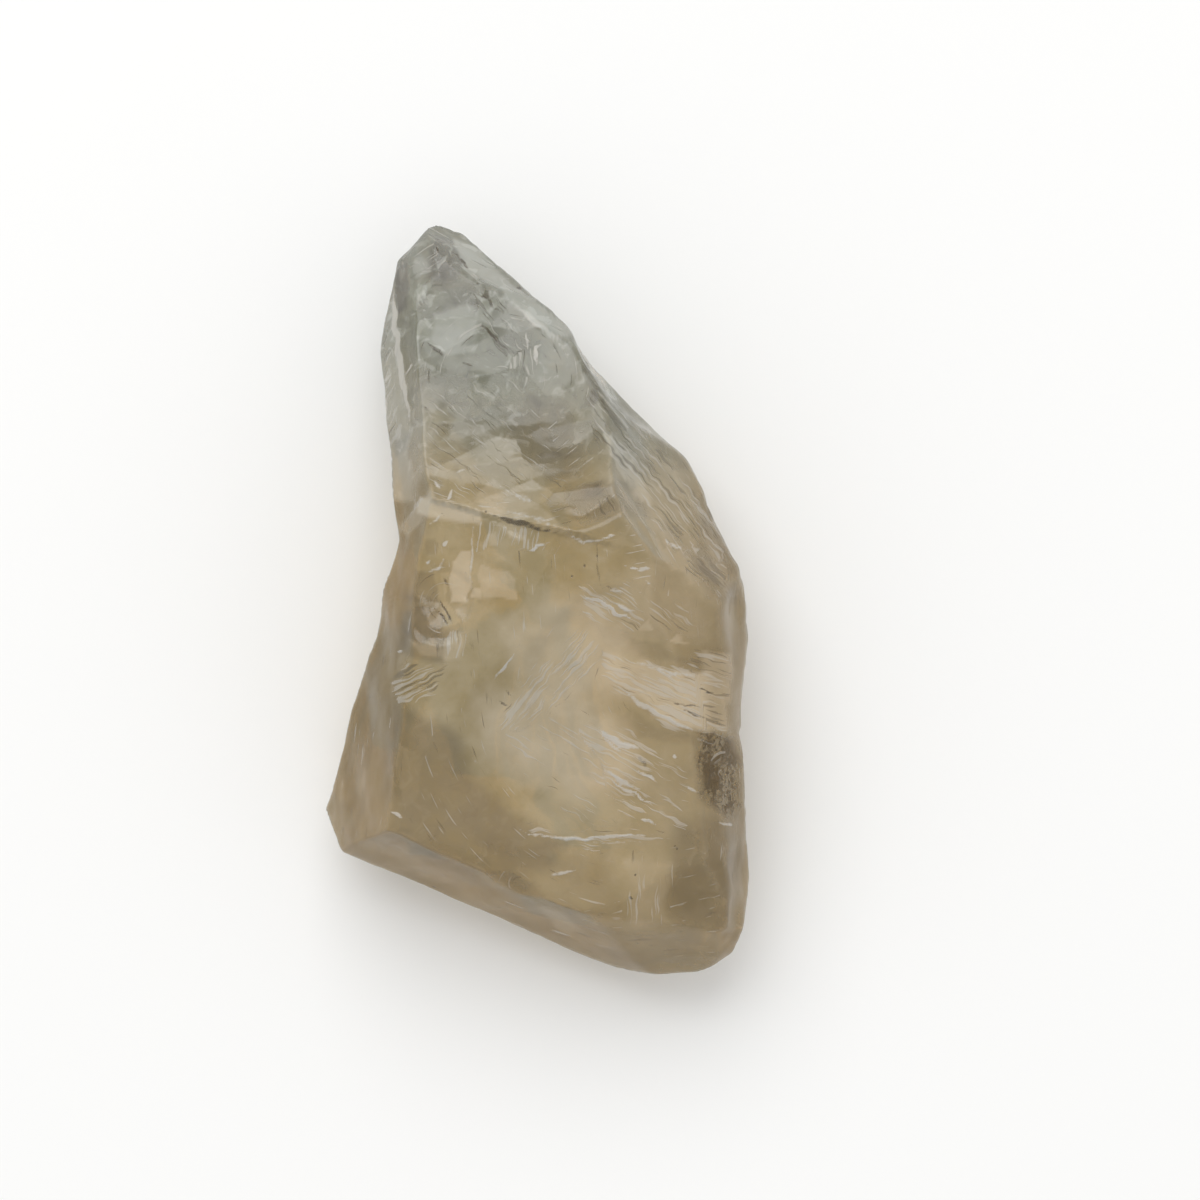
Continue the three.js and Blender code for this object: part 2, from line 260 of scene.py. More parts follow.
# A patch has the width of its soft edge, a strength and its corners.
# Pale patches are white veils in the stone; the ones marked below are also or only painted light.
PALE_PATCHES = {
    "tip_left_face": (0.4, 0.15, (-11.5, 28), (-8.4, 30.8), (-8.8, 27.4), (-9.3, 26.4), (-10.4, 25.2)),
    # Painted reflection: the tip's bevel is whitened as bluish light caught from above, partly a veil.
    "tip_bevel": (0.25, 0.68, (-7, 30.2), (-5.2, 29.4), (-2.1, 26.3), (1.2, 23.8), (3.4, 22.1),
                  (1.2, 21.6), (-1.3, 23.8), (-3.2, 26), (-5.2, 27.1), (-6.3, 28.2)),
    "tip_window": (0.4, 0.35, (-8.4, 24.1), (-4.9, 24.4), (-4.5, 21.9), (-5.2, 20.5), (-7.8, 20.3),
                   (-8.6, 22)),
    "tip_mirror": (0.25, 0.15, (0.4, 21.6), (2.7, 22), (3, 19.3), (0, 19.6)),
    # Painted reflection on the tip's right rim, partly a veil.
    "tip_rim": (0.3, 0.75, (3.4, 22), (4.2, 21.4), (5.6, 18.8), (7, 16.6), (6.2, 16.6), (4.4, 19.6)),
    # Painted highlight on the bowl's steep rim above the lip.
    "crescent_band": (0.3, 0.3, (-5.2, 8.4), (-3.6, 10), (-0.6, 8.3), (1.2, 7), (3.8, 4.7), (0.5, 6.1),
                      (-4, 7.3)),
    "left_roll": (0.4, 0.4, (-11.2, 6), (-10, 7.6), (-8.7, 9.4), (-8.4, 8.6), (-9.6, 6.6), (-10.4, 5)),
    # Painted light: whitens the shaded wall of the ledge.
    "lip_left": (0.4, 0.9, (-9.8, 8.6), (-4.6, 7.6), (-4.6, 6.3), (-9.8, 7)),
    "block": (0.16, 0.9, (-6.9, 3.2), (-6, 4), (-5.35, 4), (-5.4, 1.5), (-5.7, -0.2), (-7, -0.2),
              (-7.2, 1.2)),
    "block_foot": (0.16, 0.75, (-5.3, 1.1), (-4.6, 0.9), (-4.5, 0.2), (-5.3, 0.1)),
    "plate": (0.18, 0.5, (-4.7, 2.9), (-2.3, 2.3), (-1.6, 1.6), (-1.6, 0.1), (-4.4, 0.2), (-4.7, 1.5)),
    "plate_core": (0.4, 0.4, (-4.2, 2), (-2.7, 2), (-2.6, 1.3), (-4, 1.2)),
    "lip_plate": (0.2, 0.5, (-4, 5.4), (-3.3, 5.7), (-3.2, 4.5), (-3.8, 4.3)),
    "lip_plate_right": (0.2, 0.5, (-2.4, 5.6), (-0.9, 5.3), (-0.9, 4.9), (-2.2, 5.1)),
    "comb_plate": (0.3, 0.5, (-7.6, -3.4), (-6.2, -2.6), (-5.9, -3.8), (-6.4, -5), (-7.6, -4.9)),
    "scoop_foot": (0.4, 0.3, (-10.2, -3), (-8.2, -2.8), (-7.6, -4.6), (-9.6, -4)),
    "leaf": (0.18, 0.7, (5.5, 13.6), (6.3, 13.7), (7.6, 11.9), (9.2, 8.6), (9.4, 7.9), (8.6, 8.2),
             (7, 10.2)),
    # Painted rim light on the tip's left strip, partly a veil.
    "tip_strip": (0.8, 0.55, (-14.4, 24.4), (-12, 25), (-10.4, 14), (-10.2, 8), (-13.4, 8), (-14.4, 18)),
    "crown_left": (1.6, 0.3, (-10.6, 18), (-8, 18), (-7.6, 10), (-10.4, 10)),
    "white_band": (0.6, 1, (6, -4.4), (11, -6.1), (14, -6.1), (14, -10.8), (11.5, -10.2), (8.5, -8.6),
                   (6.3, -6.5)),
    "shards": (0.4, 0.5, (13.8, -4), (16, -4.4), (16, -10.6), (14, -11)),
    "shard_left": (0.16, 0.7, (11, -3.4), (11.6, -2.9), (12.3, -3.7)),
    "shard_mid": (0.16, 0.6, (8.3, -2.4), (9.2, -1.6), (9.7, -2.5)),
    # The middle is whitened by veils and by a painted sheen of the overhead light.
    "centre": (3, 0.9, (-5, -8.6), (3, -6), (8, -12), (8.5, -15), (3, -16.4), (-4, -13)),
    "centre_high": (2.4, 0.75, (-3.5, -2), (3.6, 0.6), (8, -2), (8.4, -8), (2, -8), (-2, -6)),
    "bevel_end": (0.4, 0.25, (-1, -24.9), (2.5, -26.2), (4.2, -28.2), (2, -27.4)),
    "end_stripes": (0.8, 0.25, (7.6, -22), (10.8, -21.6), (11, -26.6), (7.8, -27)),
    "bulge": (2, 0.3, (8, 3), (13, 1.6), (14.6, -3), (11, -3.6), (7, -1)),
}
# Smoky patches: smoke in the stone, and painted shade where the patch's name says shade.
SMOKY_AND_SHADED_PATCHES = {
    "apex_smoke": (0.35, 0.9, (-8.4, 30.2), (-7.1, 30.1), (-6.4, 28.2), (-7, 26.7), (-8.6, 26.3),
                   (-9.1, 27.3)),
    "tip_mottle": (0.25, 0.75, (-12, 28), (-10.7, 28.3), (-10.7, 24.1), (-11.7, 23.8)),
    "tip_shade": (0.3, 0.5, (-7.7, 25.8), (-5.2, 26.3), (-4.7, 24.4), (-6.8, 24.4)),
    "seam_shade": (0.4, 0.4, (-4.2, 25.6), (-2.8, 25.2), (-0.6, 22.4), (-0.8, 20.6), (-2.6, 20.4),
                   (-3.6, 22.4)),
    "rim_shade": (0.25, 0.55, (3.6, 19.6), (4.4, 19.4), (5.4, 16.6), (4.8, 16.4)),
    "tip_foot": (1, 0.3, (-11.2, 18), (-8, 19.4), (-5, 18.8), (-6, 16), (-10.6, 14.4)),
    "strip_foot": (0.5, 0.6, (-12.4, 13.4), (-10.6, 14), (-10.6, 12.8), (-11.8, 12.2)),
    "crown_smoke": (1.6, 0.45, (-2.5, 15.5), (0, 16.6), (2.5, 16), (4.2, 13), (3.5, 10), (1, 9.6),
                    (-1.5, 12)),
    "crown_smudge": (0.5, 0.6, (3.9, 9.4), (5.4, 9.5), (5.4, 8.2), (4.1, 8.2)),
    "strip_spot": (0.5, 0.4, (4.3, 16.8), (5.3, 16.9), (5, 15.9)),
    "scoop_facet": (0.3, 0.5, (-10.1, 2.4), (-8.5, 2.3), (-8.1, 0.9), (-8.2, -0.2), (-10.2, -0.1)),
    "scoop_facet_low": (0.3, 0.5, (-11.2, -0.9), (-9.6, -0.4), (-8.2, -0.7), (-7.6, -2), (-7.9, -3.3),
                        (-9.5, -3.7), (-11.2, -2.6)),
    "scoop_shade": (0.3, 0.35, (-9.2, 4.9), (-8.2, 4.9), (-8.2, 3.8), (-9.1, 3.8)),
    "band_shade": (0.6, 0.3, (4.5, -2.2), (7.5, -2.4), (11.5, -4.6), (14, -5.7), (8.5, -4.8), (6, -3.8)),
    "under_band": (0.6, 0.25, (7, -8.9), (9.5, -10.2), (13, -11.4), (13, -12.2), (9, -11.4), (6.5, -10)),
    "lower_left": (2, 0.6, (-12.3, -8.4), (-8, -9.6), (-4, -15), (0, -18.6), (3, -20), (-1, -23.5),
                   (-12, -19.5)),
    "scoop": (1, 0.6, (-11, 0.4), (-8, 0), (-7, -3), (-8, -5), (-11, -4.4)),
    "shoulder_shade": (1, 0.55, (13, 9), (16.4, 6), (16.8, 0), (14.4, 0), (13, 4)),
    "crown_foot": (1, 0.45, (2, 9.6), (8, 9.4), (9.6, 7), (6, 6.6), (3, 7)),
    "lower_right": (2.4, 0.55, (11.6, -18), (16, -18.4), (17, -24), (16.5, -27.5), (12, -27),
                    (10.5, -24)),
    "end_smoke": (1, 0.25, (5, -27.4), (14, -28), (13, -31), (7, -31)),
    "lower_mid": (2, 0.35, (-4, -20.5), (6, -20.8), (7, -26), (3, -26.4), (-3, -23.6)),
    "oval_shade": (1, 0.4, (13, -11.4), (14.6, -10.8), (16.4, -11.4), (16.8, -15), (16.4, -18.2),
                   (13.4, -16.6)),
}
STAINED_PATCHES = {
    "rough_oval": (0.8, 0.9, (13.4, -11), (14.8, -10.7), (16.2, -11.6), (16.9, -13.4), (16.5, -15.6),
                   (16.8, -17), (15.8, -18.4), (14.8, -17.2), (13.7, -16.6), (13.9, -14.6), (12.9, -13.2)),
}

# A brushed patch has fine parallel lines: its soft edge, how strong its white and its dark lines are,
# their bearing, and its corners.
BRUSHED_PATCHES = {
    "comb": (0.3, 0.9, 0.2, 84, (-7.6, -5), (-6, -4.9), (-5.8, -2.7), (-7.4, -2.6)),
    "ripples": (0.6, 0.8, 0.6, 25, (-12.2, -6.6), (-10.6, -5.2), (-7.4, -5.2), (-8.4, -7.6),
                (-11.4, -8.6)),
    "feathers": (0.9, 0.75, 0, 49, (-3.4, -10.2), (-1.6, -11), (6, -4.6), (4.6, -2.4), (0, -5.4)),
    "strip": (0.8, 0.6, 0.55, -50, (4.4, 18.6), (6, 18), (15.6, 6), (15, 3.6), (10, 7), (5, 13.6)),
    "tip_hatch": (0.4, 0.7, 0.3, 96, (-2.2, 18.9), (0.4, 18.6), (0.2, 21), (-2, 21)),
    "tip_sparkle": (0.4, 0.6, 0.4, 65, (-13.6, 24), (-12.4, 24), (-11.2, 14), (-13, 13)),
    "crease": (0.5, 0.4, 0.6, -52, (-5.2, 25.6), (-3.6, 25.6), (-1.2, 20.4), (-3, 20)),
    "shreds": (0.9, 0.6, 0.5, -16, (13, -3.6), (15.8, -4.2), (15.6, -11.6), (13, -11.4)),
    "band": (0.7, 0.95, 0.25, -24, (5.6, -4.2), (11, -5.9), (14, -5.9), (14, -11), (11, -10.4), (6, -7)),
    "front": (1.2, 0.65, 0.1, -27, (3.4, -10), (9, -11.4), (12.8, -15.4), (12, -18.8), (6, -17.6)),
    "front_faint": (1.6, 0.4, 0, -32, (-3, -11), (4, -9.6), (8, -17), (3, -19.4)),
    "ripple": (0.5, 0.6, 0.15, -5, (-2, -18.4), (2, -18.8), (10, -18.6), (10.4, -20.2), (3, -20.6)),
    "streaks": (0.5, 0.7, 0.1, -32, (3.4, 1), (7.6, 1.4), (9, -0.8), (8.4, -2.4), (4, -1.8)),
    "bulge": (0.8, 0.55, 0.3, -38, (9, 0.4), (12.6, -1.2), (13.4, -3.2), (9.6, -2.2)),
    "end": (0.8, 0.45, 0.1, 88, (7.2, -21.6), (11.2, -21.4), (11, -26.8), (7.4, -27.2)),
    "shoulder": (0.5, 0.3, 0.9, -42, (12.4, 4), (15.8, 3), (15.6, 1.2), (12.8, 2)),
    "lip": (0.3, 0.2, 0.6, -62, (3, 8), (6.8, 7.9), (6.6, 6.9), (3.2, 7.1)),
    "lip_hatch": (0.4, 0.75, 0.1, 80, (-5, 6.6), (2.4, 4.9), (1.6, 3.8), (-4.6, 4.2)),
    "crown": (2, 0.35, 0.25, -38, (-9, 17), (-2, 18), (2, 9), (-6, 9)),
}

# Ridges stand out and grooves go in by this share of a line's width, and patches by this many mm.
RIDGE_SHARE = 0.1
PALE_RISE = 0.03
SMOKY_AND_SHADED_FALL = 0.03
STAIN_FALL = 0.1
# How far the edges between breaks show, in mm, and where: the breaks' directions differ by an angle, and
# 1 less its cosine goes from the first value to the second.
# The edges are painted whiter, partly as wear and partly as a painted highlight along them.
EDGE_WIDTH = 0.5
EDGE_FOLD = (0.03, 0.2)
# How much whiter or smokier flake scars are than each other, and the share of dark lines outside of the
# brushed patches.
PALE_SCARS = 0.7
SMOKY_SCARS = 0.8
DARK_SHARE = 0.5
# Breaks blend their looks at an edge over this many times the wear.
LOOK_BLEND = 4
# Marks end on the way down the sides, between these heights in mm.
MARK_FOOT = (5.5, 9)
# Marks waver by this many mm over this length, and patches whose soft edge is wider than given stray
# further.
WAVER = 0.06
WAVER_LENGTH = 1.6
STRAY = 0.2
STRAY_LENGTH = 5
STRAY_EDGE = 0.3
# The thinnest that a line can taper to, in mm.
LEAST_WIDTH = 0.17
# How many of the fine parallel lines there are to a mm, and how they hold on along their length.
LINES_PER_MM = 4.5
LINE_HOLD = 0.3

# The skin's grid is laid on a tapered block round the lump, in mm: its length, its half widths at the
# tip and at the wide end, its middle line there, and its top and foot. Rays run out from a small flat
# copy of the block inside the lump.
BLOCK_REACH = 30
BLOCK_HALF = (8, 17.5)
BLOCK_MIDDLE = (-6.5, 0.5)
BLOCK_TOP = 17
BLOCK_FOOT = -2
# The sides' rows crowd together by this much halfway down, where the outline's edges are.
CROWDING = 0.1
# The inner copy's size along and across as shares of the block's, and its height; and the shares of
# the rings of vertices underneath.
INNER_ALONG = 0.62
INNER_ACROSS = 0.4
INNER_HEIGHT = 7
UNDER_RINGS = (0.75, 0.5)
# How far a ray is followed, in mm, and the least speed towards a break at which relief is measured.
RAY_REACH = 90
RELIEF_SPEED = 0.35

# The stage, in metres: half the floor's width, the lamp's place, how far right of the lump's middle the
# camera is, and the height in the lump at which the width of the view is measured.
FLOOR_REACH = 12.0
LAMP_PLACE = (-0.2, 0.75, 1.0)
VIEW_SHIFT = 5.25 * MM
VIEW_LEVEL = 9 * MM


def outward(bearing, tilt):
    """The unit vector at a bearing from +X towards +Y and a tilt from +Z, in degrees."""
    turn, lean = math.radians(bearing), math.radians(tilt)
    level = math.sin(lean)
    return np.array([level * math.cos(turn), level * math.sin(turn), math.cos(lean)])


def smooth(values, low, high):
    """0 up to low, 1 from high on, and 3 t squared less 2 t cubed in between."""
    t = np.clip((values - low) / (high - low), 0, 1)
    return t * t * (3 - 2 * t)


def swell(points, length, seed, waves=14):
    """Smooth unevenness of unit spread: a sum of plane waves in seeded directions, about one length long."""
    draw = np.random.default_rng(seed)
    ways = draw.normal(size=(waves, points.shape[1]))
    ways /= np.linalg.norm(ways, axis=1, keepdims=True)
    lengths = length * draw.uniform(0.6, 1.6, waves)
    phases = draw.uniform(0, 2 * math.pi, waves)
    turns = points @ (ways * (2 * math.pi / lengths)[:, None]).T + phases
    return np.sin(turns).sum(axis=1) * math.sqrt(2 / waves)


def flake_scars(u, v, seed):
    """Shallow scars that meet in sharp ridges, about one unit apart: their height and their tone.

    Each cell of a unit grid has a seeded centre and a seeded floor. The height is the least, over the
    nine cells around, of the floor and the squared distance from the centre. The tone is the floor of
    the cell that a point belongs to.
    """
    wrap = 64
    table = np.random.default_rng(seed).uniform(size=(wrap, wrap, 3))
    column, row = np.floor(u).astype(int), np.floor(v).astype(int)
    height, tone = np.full((2, *u.shape), FAR)
    for right in (-1, 0, 1):
        for up in (-1, 0, 1):
            cell = table[(column + right) % wrap, (row + up) % wrap]
            across = column + right + cell[:, 0] - u
            along = row + up + cell[:, 1] - v
            rise = across ** 2 + along ** 2 + FLOOR_SHARE * cell[:, 2]
            tone = np.where(rise < height, cell[:, 2], tone)
            height = np.minimum(height, rise)
    return height, tone


def relief_of(name, points, spec, seed):
    """How far a break's surface stands out at points on it, by RELIEFS, and its flake scars' tones."""
    slow, grain, size, depth, stretch = RELIEFS.get(name, PLAIN_RELIEF)
    bearing, tilt = spec[3:5]
    contour = outward(bearing + 90, 90)
    slope = np.cross(outward(bearing, tilt), contour)
    scars, tone = flake_scars(points @ contour / (size * stretch), points @ slope / size, seed)
    waves = slow * swell(points, WAVE_LENGTH, seed + 1) + grain * swell(points, GRAIN_LENGTH, seed + 2)
    return waves + depth * (scars - FLOOR_SHARE), tone


def rays_from_block(across, along, down):
    """Starts and directions of the rays through a tapered block's top, sides and foot, row by row.

    With s and t from -1 to 1 across and along, a point of the block is at y = reach t and
    x = middle(t) + half(t) s, both linear in t. A ray's start is that point's own place on a copy
    that is smaller along and across, at one height.
    """
    s = np.linspace(-1, 1, across + 1)
    t = np.linspace(-1, 1, along + 1)
    top_s, top_t = np.meshgrid(s, t)
    ring_s = np.concatenate([s[:-1], np.ones(along), s[:0:-1], -np.ones(along)])
    ring_t = np.concatenate([-np.ones(across), t[:-1], np.ones(across), t[:0:-1]])
    fall = np.linspace(0, 1, down + 1)[1:]
    levels = BLOCK_TOP + (BLOCK_FOOT - BLOCK_TOP) * (fall + CROWDING * np.sin(2 * math.pi * fall))
    shares = np.concatenate([np.ones(down), UNDER_RINGS])
    levels = np.concatenate([levels, np.full(len(UNDER_RINGS), BLOCK_FOOT)])
    all_s = np.concatenate([top_s.ravel(), np.outer(shares, ring_s).ravel()])
    all_t = np.concatenate([top_t.ravel(), np.outer(shares, ring_t).ravel()])
    height = np.concatenate([np.full(top_s.size, BLOCK_TOP), np.repeat(levels, ring_s.size)])

    def place(along_share, across_share, z):
        part = (1 + along_share * all_t) / 2
        middle = BLOCK_MIDDLE[1] + (BLOCK_MIDDLE[0] - BLOCK_MIDDLE[1]) * part
        half = BLOCK_HALF[1] + (BLOCK_HALF[0] - BLOCK_HALF[1]) * part
        return np.stack([middle + half * across_share * all_s, BLOCK_REACH * along_share * all_t, z], axis=1)

    starts = place(INNER_ALONG, INNER_ACROSS, np.full(all_s.size, float(INNER_HEIGHT)))
    ways = place(1, 1, height) - starts
    return starts, ways / np.linalg.norm(ways, axis=1, keepdims=True)


def skin_faces(across, along, rows_down):
    """Faces of the block's skin: the top's grid, the rows down and under, and a fan round one vertex."""
    top = np.arange((across + 1) * (along + 1)).reshape(along + 1, across + 1)
    grid = np.stack([top[:-1, :-1], top[:-1, 1:], top[1:, 1:], top[1:, :-1]], axis=-1).reshape(-1, 4)
    rim = np.concatenate([top[0, :-1], top[:-1, -1], top[-1, :0:-1], top[:0:-1, 0]])
    rows = top.size + np.arange(rows_down * rim.size).reshape(rows_down, rim.size)
    rows = np.concatenate([rim[None], rows])
    after = np.roll(rows, -1, axis=1)
    sides = np.stack([rows[:-1], rows[1:], after[1:], after[:-1]], axis=-1).reshape(-1, 4)
    middle = np.full(rim.size, rows.max() + 1)
    fan = np.stack([middle, after[-1], rows[-1]], axis=-1)
    return np.concatenate([grid, sides]), fan


def to_flat(rays, name, spec, seed):
    """Distances along the rays to a flat break: the start's depth under it over the ray's speed towards it.

    The relief at the place that a ray hits is added, measured along the ray.
    """
    starts, ways = rays
    normal = outward(*spec[3:5])
    speed = ways @ normal
    depth = (np.array(spec[:3]) - starts) @ normal
    away = speed < 1e-3
    distance = np.where(away, FAR, depth / np.maximum(speed, 1e-3))
    hits = starts + ways * np.minimum(distance, RAY_REACH)[:, None]
    rise, scars = relief_of(name, hits, spec, seed)
    return distance + np.where(away, 0, rise / np.maximum(speed, RELIEF_SPEED)), scars


def to_bowl(rays, name, spec, seed):
    """Distances along the rays to the near side of a bowl's ball, with its ripples and its relief.

    With b the way to the ball's middle along the ray and c the squared gap less the squared radius,
    the distance is b less the root of b squared less c. A ripple is height (1 - cos(2 pi d / wave)),
    d from the struck point.
    """
    starts, ways = rays
    radius, height, wave = spec[5:8]
    struck = np.array(spec[:3])
    middle = struck + outward(*spec[3:5]) * radius
    gap = middle - starts
    b = (gap * ways).sum(axis=1)
    bend = b * b - (gap * gap).sum(axis=1) + radius ** 2
    meets = (bend > 0) & (b > 0)
    distance = np.where(meets, b - np.sqrt(np.maximum(bend, 0)), FAR)
    hits = starts + ways * np.minimum(distance, RAY_REACH)[:, None]
    speed = ((middle - hits) * ways).sum(axis=1) / radius
    wander = RIPPLE_WANDER * swell(hits, RIPPLE_WANDER_LENGTH, seed + 3)
    run = np.linalg.norm(hits - struck, axis=1) + wander
    rise, scars = relief_of(name, hits, spec, seed)
    rise += height * (1 - np.cos(2 * math.pi * run / wave))
    return distance + np.where(meets, rise / np.maximum(speed, RELIEF_SPEED), 0), scars


def break_ends(rays):
    """Every break's name and place, the distances along the rays to it, and its scars there."""
    breaks = []

    def note(name, spec, end):
        breaks.append((name, spec, *end))

    def seed():
        return 10 * len(breaks) + 10

    for name, spec in FLAT_BREAKS.items():
        note(name, spec, to_flat(rays, name, spec, seed()))
    for name, (first, second) in STEPS.items():
        one, other = to_flat(rays, name, first, seed()), to_flat(rays, name, second, seed() + 5)
        note(name, first, (np.maximum(one[0], other[0]), np.where(one[0] > other[0], one[1], other[1])))
    for name, spec in BOWLS.items():
        note(name, spec, to_bowl(rays, name, spec, seed()))
    names, specs, ends, scars = zip(*breaks)
    return names, specs, np.array(ends), np.array(scars)


def route_mask(places, route, width):
    """How near each place is to a route: exp(-(d / width) squared), thinned out towards its two ends."""
    route = np.array(route, dtype=float)
    legs = np.diff(route, axis=0)
    lengths = np.linalg.norm(legs, axis=1)
    passed = np.concatenate([[0], np.cumsum(lengths)])
    mask = np.zeros(len(places))
    for start, leg, length, before in zip(route, legs, lengths, passed):
        share = np.clip((places - start) @ leg / length ** 2, 0, 1)
        gap = ((places - start - share[:, None] * leg) ** 2).sum(axis=1)
        part = (before + share * length) / passed[-1]
        taper = np.sqrt(np.clip(0.1 + 3.6 * part * (1 - part), 0, 1))
        mask = np.maximum(mask, taper * np.exp(-gap / np.maximum(width * taper, LEAST_WIDTH) ** 2))
    return mask


def patch_mask(places, corners, edge):
    """1 well inside a patch, 0 well outside, and a smooth step as wide as its edge in between.

    A place is inside where a level line from it to the right crosses the outline an odd number of times.
    """
    corners = np.array(corners, dtype=float)
    inside = np.zeros(len(places), dtype=bool)
    gap = np.full(len(places), FAR)
    for start, leg in zip(corners, np.roll(corners, -1, axis=0) - corners):
        share = np.clip((places - start) @ leg / (leg @ leg), 0, 1)
        gap = np.minimum(gap, np.linalg.norm(places - start - share[:, None] * leg, axis=1))
        level = (places[:, 1] - start[1]) / (leg[1] if leg[1] else 1e-9)
        inside ^= (level >= 0) & (level < 1) & (places[:, 0] < start[0] + level * leg[0])
    return smooth(np.where(inside, gap, -gap), -edge / 2, edge / 2)


def marks_at(skin):
    """The marks at each vertex by name, from 0 to 1, and how far they raise it, in mm.

    The run is the distance across a brushed patch's lines.
    """
    plan = skin[:, :2]
    warp = np.stack([swell(plan, WAVER_LENGTH, seed) for seed in (71, 72)], axis=1)
    wander = np.stack([swell(plan, STRAY_LENGTH, seed) for seed in (73, 74)], axis=1)
    fine = plan + WAVER * warp
    loose = fine + STRAY * wander
    raised = np.zeros(len(skin))
    names = ("white", "smoky", "stained", "scratches_and_glints", "cracked_and_shaded", "brushed", "pale_lines", "dark_lines")
    marks = {name: np.zeros(len(skin)) for name in (*names, "run")}

    def patches(table, tone, rise):
        for edge, strength, *corners in table.values():
            mask = strength * patch_mask(loose if edge > STRAY_EDGE else fine, corners, edge)
            tone[:] = tone + (1 - tone) * mask
            raised[:] += rise * mask

    def lines(table, tone, rise):
        for width, strength, *route in table.values():
            mask = strength * route_mask(fine, route, width)
            np.maximum(tone, mask, out=tone)
            raised[:] += rise * width * mask

    patches(PALE_PATCHES, marks["white"], PALE_RISE)
    patches(SMOKY_AND_SHADED_PATCHES, marks["smoky"], -SMOKY_AND_SHADED_FALL)
    patches(STAINED_PATCHES, marks["stained"], -STAIN_FALL)
    lines(WHITE_LINES, marks["scratches_and_glints"], RIDGE_SHARE)
    lines(DARK_LINES, marks["cracked_and_shaded"], -RIDGE_SHARE)
    for x, y in SPECKS:
        speck = route_mask(fine, ((x, y), (x + 0.1, y + 0.1)), SPECK_WIDTH)
        np.maximum(marks["cracked_and_shaded"], speck, out=marks["cracked_and_shaded"])
    for edge, pale, dark, bearing, *corners in BRUSHED_PATCHES.values():
        mask = patch_mask(loose, corners, edge)
        over = mask > marks["brushed"]
        marks["run"] = np.where(over, fine @ outward(bearing + 90, 90)[:2], marks["run"])
        marks["brushed"] = np.maximum(marks["brushed"], mask)
        marks["pale_lines"] = np.where(over, pale * mask, marks["pale_lines"])
        marks["dark_lines"] = np.where(over, dark * mask, marks["dark_lines"])
    upper = smooth(skin[:, 2], *MARK_FOOT)
    run = marks.pop("run")
    marks = {name: mark * upper for name, mark in marks.items()}
    return {**marks, "run": run}, raised * upper


def lump_skin(shape):
    """Vertices of the lump in mm and what its finish follows, by name.

    Each ray ends at the nearest break, and edges are worn round: the nearest of distances d is taken
    as -k log(sum of exp(-d / k)), which is their least value less a little near an edge; k is the wear.
    """
    rays = rays_from_block(shape.across, shape.along, shape.down)
    starts, ways = rays
    names, specs, ends, scars = break_ends(rays)
    nearest, next_nearest = np.argpartition(ends, (0, 1), axis=0)[:2]
    every = np.arange(ends.shape[1])
    least = ends[nearest, every]
    wear = shape.wear / MM
    worn = least - wear * np.log(np.exp(-(ends - least) / wear).sum(axis=0))
    skin = starts + ways * worn[:, None]
    low, high = skin.min(axis=0), skin.max(axis=0)
    centre = np.array([(low[0] + high[0]) / 2, (low[1] + high[1]) / 2, max(low[2], 0)])

    finish, raised = marks_at(skin - centre)
    nearness = np.exp(-(ends - least) / (LOOK_BLEND * wear))
    looks = np.array([LOOKS.get(name, PLAIN_LOOK) for name in names]).T @ (nearness / nearness.sum(axis=0))
    tone = (scars[nearest, every] - 0.5) * looks[4]
    finish["white"] += (1 - finish["white"]) * (looks[0] + np.maximum(tone * PALE_SCARS, 0))
    finish["smoky"] += (1 - finish["smoky"]) * np.maximum(-tone * SMOKY_SCARS, 0)
    finish["stained"] += (1 - finish["stained"]) * looks[2]
    finish["amber_shade"] = looks[1]
    normals = np.array([outward(*spec[3:5]) for spec in specs])
    fold = 1 - (normals[nearest] * normals[next_nearest]).sum(axis=1)
    runs = np.array([streak_run(skin, spec) for spec in specs])
    brushed = finish.pop("brushed")
    finish["run"] = np.where(brushed > 0.01, finish["run"], runs[nearest, every])
    finish["pale_lines"] += (1 - brushed) * looks[3]
    finish["dark_lines"] += (1 - brushed) * looks[3] * DARK_SHARE
    finish["edged"] = np.exp(-(ends[next_nearest, every] - least) / EDGE_WIDTH) * smooth(fold, *EDGE_FOLD)
    skin = skin + ways * raised[:, None] - centre
    skin[:, 2] = np.maximum(skin[:, 2], 0)
    under = np.zeros((1, 3))
    return np.concatenate([skin, under]), {key: np.append(values, 0) for key, values in finish.items()}


def streak_run(points, spec):
    """The distance across a break's fine streaks: from a bowl's struck point, or along a flat's bearing."""
    if len(spec) > 5:
        return np.linalg.norm(points - np.array(spec[:3]), axis=1)
    return points @ outward(spec[3], 90)


def mesh_from(name, vertices, *face_sets):
    """A mesh of vertices in metres and sets of faces, shaded smooth."""
    mesh = bpy.data.meshes.new(name)
    loops = np.concatenate([faces.ravel() for faces in face_sets])
    totals = np.concatenate([np.full(len(faces), faces.shape[1]) for faces in face_sets])
    mesh.vertices.add(len(vertices))
    mesh.vertices.foreach_set("co", vertices.astype(np.float32).ravel())
    mesh.loops.add(len(loops))
    mesh.loops.foreach_set("vertex_index", loops.astype(np.int32))
    mesh.polygons.add(len(totals))
    mesh.polygons.foreach_set("loop_start", (np.cumsum(totals) - totals).astype(np.int32))
    mesh.update(calc_edges=True)
    mesh.validate()
    mesh.polygons.foreach_set("use_smooth", np.ones(len(totals), dtype=bool))
    return mesh


def add_object(name, data):
    """A new object at the origin, in the scene's own collection."""
    piece = bpy.data.objects.new(name, data)
    bpy.context.scene.collection.objects.link(piece)
    return piece


